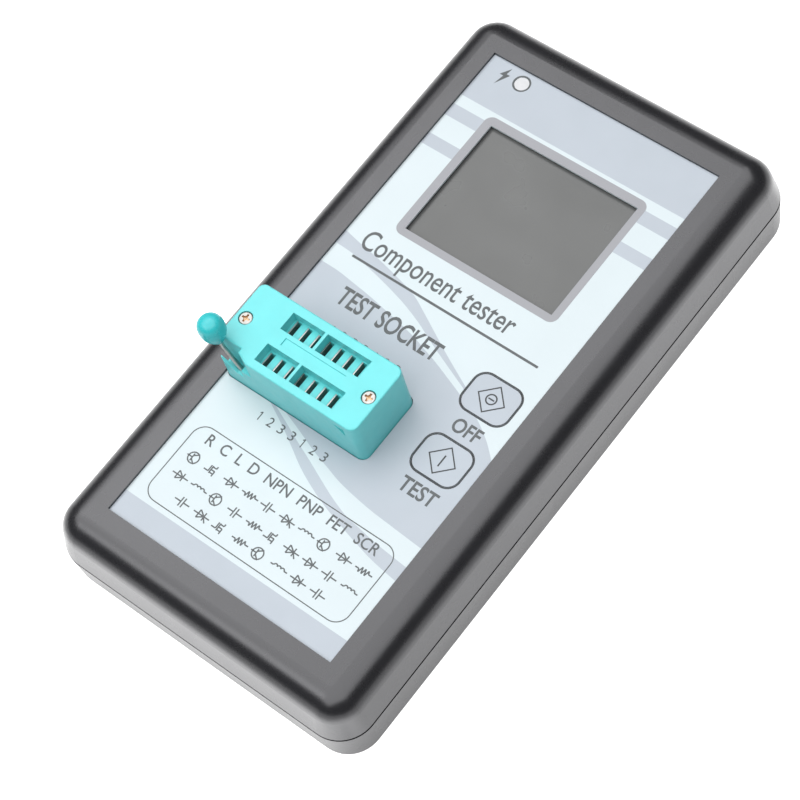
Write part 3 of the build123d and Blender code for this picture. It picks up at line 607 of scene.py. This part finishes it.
TAIL_UNDER = [(-16.2, -24.1), (-10.3, -27.1), (-6.2, -29.4), (-2, -31.8), (2.2, -33.7),
              (6.3, -35.2), (10.5, -36.4), (14.7, -37.5), (20.1, -38.7), (RIGHT, -39.5)]


def between(top, under):
    """The outline between two curved edges."""
    return smooth(under) + smooth(top)[::-1]


zone("print_swoosh", between(SWOOSH_TOP, SWOOSH_UNDER))
zone("print_field", between(FIELD_TOP, FIELD_UNDER))
zone("print_tail", between(TAIL_TOP, TAIL_UNDER))


def ink(name, loops, paint=print_ink, body="case"):
    """Ink inside outlines in mm; inner outlines are holes."""
    piece(name, slab_mesh(loops, FILM_TOP - SINK, FILM_TOP + INK_T), paint, body)


def bar(x0, y0, x1, y1, width):
    """Outline of a straight stroke."""
    dx, dy = x1 - x0, y1 - y0
    length = math.hypot(dx, dy)
    nx, ny = -dy / length * width / 2, dx / length * width / 2
    return [(x0 + nx, y0 + ny), (x0 - nx, y0 - ny), (x1 - nx, y1 - ny), (x1 + nx, y1 + ny)]


ink("print_bezel", [rounded(*BEZEL), rounded(*WINDOW, 0)], print_grey)
ink("print_lamp_ring", [circle(LAMP_X, LAMP_Y, LAMP_RING_R), circle(LAMP_X, LAMP_Y, LAMP_R)])
ink("print_lightning", [[(-21.2, 56.9), (-22.7, 54.75), (-21.85, 54.75), (-22.35, 52.4),
                         (-20.65, 55.35), (-21.45, 55.35)]])
ink("print_title_line", [rounded(0, 7.75, 43.4, 0.5, 0.1)])
INFO_X, INFO_Y, INFO_W, INFO_H, INFO_R = 0, -43.3, 46.8, 17.3, 2.9
INFO_LINE = 0.2
ink("print_info_frame", [rounded(INFO_X, INFO_Y, INFO_W, INFO_H, INFO_R),
                         rounded(INFO_X, INFO_Y, INFO_W - 2 * INFO_LINE,
                                 INFO_H - 2 * INFO_LINE, INFO_R - INFO_LINE)])
TEXT_RESOLUTION = 4


def text_print(name, words, box, weight):
    """Lettering fitted into box = (x0, y0, x1, y1) in mm; weight thickens the strokes."""
    x0, y0, x1, y1 = box
    text = bpy.data.curves.new(name, "FONT")
    text.body = words
    text.offset = weight
    text.extrude = 0.5
    text.resolution_u = TEXT_RESOLUTION
    holder = bpy.data.objects.new(name, text)
    SCENE.collection.objects.link(holder)
    mesh = mesh_from(holder)
    low = [min(v.co[i] for v in mesh.vertices) for i in range(3)]
    high = [max(v.co[i] for v in mesh.vertices) for i in range(3)]
    size = [(x1 - x0) * MM, (y1 - y0) * MM, (INK_T + SINK) * MM]
    start = [x0 * MM, y0 * MM, (FILM_TOP - SINK) * MM]
    for vertex in mesh.vertices:
        for i in range(3):
            vertex.co[i] = start[i] + (vertex.co[i] - low[i]) / (high[i] - low[i]) * size[i]
    piece(name, mesh, print_ink, "case")


text_print("print_title", "Component tester", (-22.1, 8.5, 13.2, 14.3), 0.006)
text_print("print_socket_word", "TEST SOCKET", (-18.5, -1.85, 5.0, 2.1), 0.02)
text_print("print_word_off", "OFF", (15.65, -10.85, 21.65, -7.85), 0.02)
text_print("print_word_test", "TEST", (14.8, -25.25, 22.65, -22.15), 0.02)

# each stroke ends a little higher than the one before, so that the tops of strokes
# that follow one another don't share a plane; the lift starts again at its end
STROKE_LIFT, STROKE_LIFT_END = 0.0004, 0.004


def stroke_print(name, runs, width):
    """Symbols drawn as straight strokes: each run is a list of points in mm."""
    made = bmesh.new()
    lift = 0.0
    for run in runs:
        for (ax, ay), (bx, by) in zip(run, run[1:]):
            loop = bar(ax, ay, bx, by, width)
            lift = (lift + STROKE_LIFT) % STROKE_LIFT_END
            levels = (FILM_TOP - SINK, FILM_TOP + INK_T + lift)
            rings = [[made.verts.new((x * MM, y * MM, z * MM)) for x, y in loop]
                     for z in levels]
            made.faces.new(rings[0][::-1])
            made.faces.new(rings[1])
            for i in range(4):
                j = (i + 1) % 4
                made.faces.new((rings[0][i], rings[0][j], rings[1][j], rings[1][i]))
    bmesh.ops.recalc_face_normals(made, faces=made.faces)
    mesh = bpy.data.meshes.new(name)
    made.to_mesh(mesh)
    made.free()
    piece(name, mesh, print_ink, "case")


def ring_run(cx, cy, radius):
    """A circle as one closed run of strokes."""
    points = circle(cx, cy, radius, RING_STEPS)
    return points + [points[0]]


# Each symbol below is a list of runs in mm: x is its left end and y its middle height.


def resistor(x, y):
    teeth = [(x + 1.0 + 0.35 * i, y + (0.6 if i % 2 else -0.6)) for i in range(6)]
    return [[(x, y), (x + 0.8, y), *teeth, (x + 3.0, y), (x + 3.8, y)]]


def capacitor(x, y):
    return [[(x, y), (x + 1.4, y)], [(x + 1.4, y - 1), (x + 1.4, y + 1)],
            [(x + 2.0, y - 1), (x + 2.0, y + 1)], [(x + 2.0, y), (x + 3.4, y)]]


def coil(x, y):
    humps = [[(x + 0.7 + 0.8 * i + px, y + py) for px, py in arc(0.4, 0, 0.4, 180, 0, 6)]
             for i in range(3)]
    return [[(x, y), (x + 0.7, y)], *humps, [(x + 3.1, y), (x + 3.8, y)]]


def diode(x, y):
    triangle = [(x + 1.1, y - 0.85), (x + 1.1, y + 0.85), (x + 2.4, y), (x + 1.1, y - 0.85)]
    return [[(x, y), (x + 3.6, y)], triangle, [(x + 2.4, y - 0.85), (x + 2.4, y + 0.85)]]


def transistor(x, y):
    return [[(x, y), (x + 1.2, y)], [(x + 1.2, y - 0.8), (x + 1.2, y + 0.8)],
            [(x + 1.2, y + 0.3), (x + 2.2, y + 1.1)], [(x + 1.2, y - 0.3), (x + 2.2, y - 1.1)],
            ring_run(x + 1.5, y, 1.15)]


def field_transistor(x, y):
    return [[(x, y - 0.5), (x + 1.0, y - 0.5), (x + 1.0, y + 0.8)],
            [(x + 1.35, y - 0.8), (x + 1.35, y + 0.8)],
            [(x + 1.35, y + 0.6), (x + 2.2, y + 0.6), (x + 2.2, y + 1.1)],
            [(x + 1.35, y - 0.6), (x + 2.2, y - 0.6), (x + 2.2, y - 1.1)],
            [(x + 1.35, y), (x + 2.2, y), (x + 2.2, y - 0.6)]]


def thyristor(x, y):
    return diode(x, y) + [[(x + 2.4, y - 0.1), (x + 3.2, y - 1.0)]]


PIN_NAMES = "1233123"
PIN_X0, PIN_PITCH = -14.95, 2.54
DIGIT_W, DIGIT_H = 0.58, 0.95           # half a digit's width and height
PIN_STROKE, SYMBOL_STROKE = 0.2, 0.26
for row_name, row_y in (("near", -27.8), ("far", -6.7)):
    ones = []
    for place, digit in enumerate(PIN_NAMES):
        x = PIN_X0 + PIN_PITCH * place
        if digit == "1":
            ones.append([(x - 0.32, row_y + 0.5), (x + 0.06, row_y + 0.86),
                         (x + 0.06, row_y - DIGIT_H)])
        else:
            text_print(f"print_pin_{row_name}_{place}", digit,
                       (x - DIGIT_W, row_y - DIGIT_H, x + DIGIT_W, row_y + DIGIT_H), 0.0)
    stroke_print(f"print_pin_{row_name}_ones", ones, PIN_STROKE)

SYMBOL_INSET = 0.7
SYMBOL_ROWS = (                         # height, left end, symbols
    (-41.2, -22.0, (transistor, field_transistor, diode, resistor, capacitor, thyristor, coil,
                    transistor, diode, resistor)),
    (-45.35, -22.0, (diode, coil, transistor, capacitor, resistor, field_transistor, thyristor,
                     diode, capacitor, coil)),
    (-49.15, -18.2, (capacitor, thyristor, field_transistor, resistor, transistor, coil, diode,
                     capacitor)))
for row, (y, x0, symbols) in enumerate(SYMBOL_ROWS):
    runs = []
    pitch = -2 * x0 / len(symbols)
    for i, symbol in enumerate(symbols):
        runs += symbol(x0 + i * pitch + SYMBOL_INSET, y)
    stroke_print(f"print_info_row_{row}", runs, SYMBOL_STROKE)
text_print("print_info_heading", "R  C  L  D  NPN  PNP  FET  SCR",
           (-20.1, -37.9, 20.1, -35.6), 0.01)

for name, (x, y, w, h) in KEYS.items():
    body = "off_key" if name == "key_off" else "test_key"
    outer_w, outer_h = w + 2 * KEY_GAP + KEY_RING, h + 2 * KEY_GAP + KEY_RING
    ink(f"print_{name}_ring", [rounded(x, y, outer_w, outer_h, KEY_RING_R), key_opening(name)],
        print_dark)
    ink(f"print_{name}_rim", [rounded(x, y, w, h, KEY_R),
                              rounded(x, y, w - 2 * KEY_RIM, h - 2 * KEY_RIM, KEY_R - KEY_RIM)],
        print_dark, body)
    diamonds = [[(x + reach, y), (x, y + reach), (x - reach, y), (x, y - reach)]
                for reach in (DIAMOND_REACH, DIAMOND_REACH - DIAMOND_LINE)]
    ink(f"print_{name}_diamond", diamonds, print_dark, body)

x, y = KEYS["key_test"][:2]
ink("print_key_test_bar", [rounded(x, y - 0.1, 0.3, 2.5, 0.05)], print_dark, "test_key")
x, y = KEYS["key_off"][:2]
ink("print_key_off_circle", [circle(x, y, 1.15), circle(x, y, 0.87)], print_dark, "off_key")
ink("print_key_off_bar", [rounded(x, y, 1.3, 0.28, 0.05)], print_dark, "off_key")
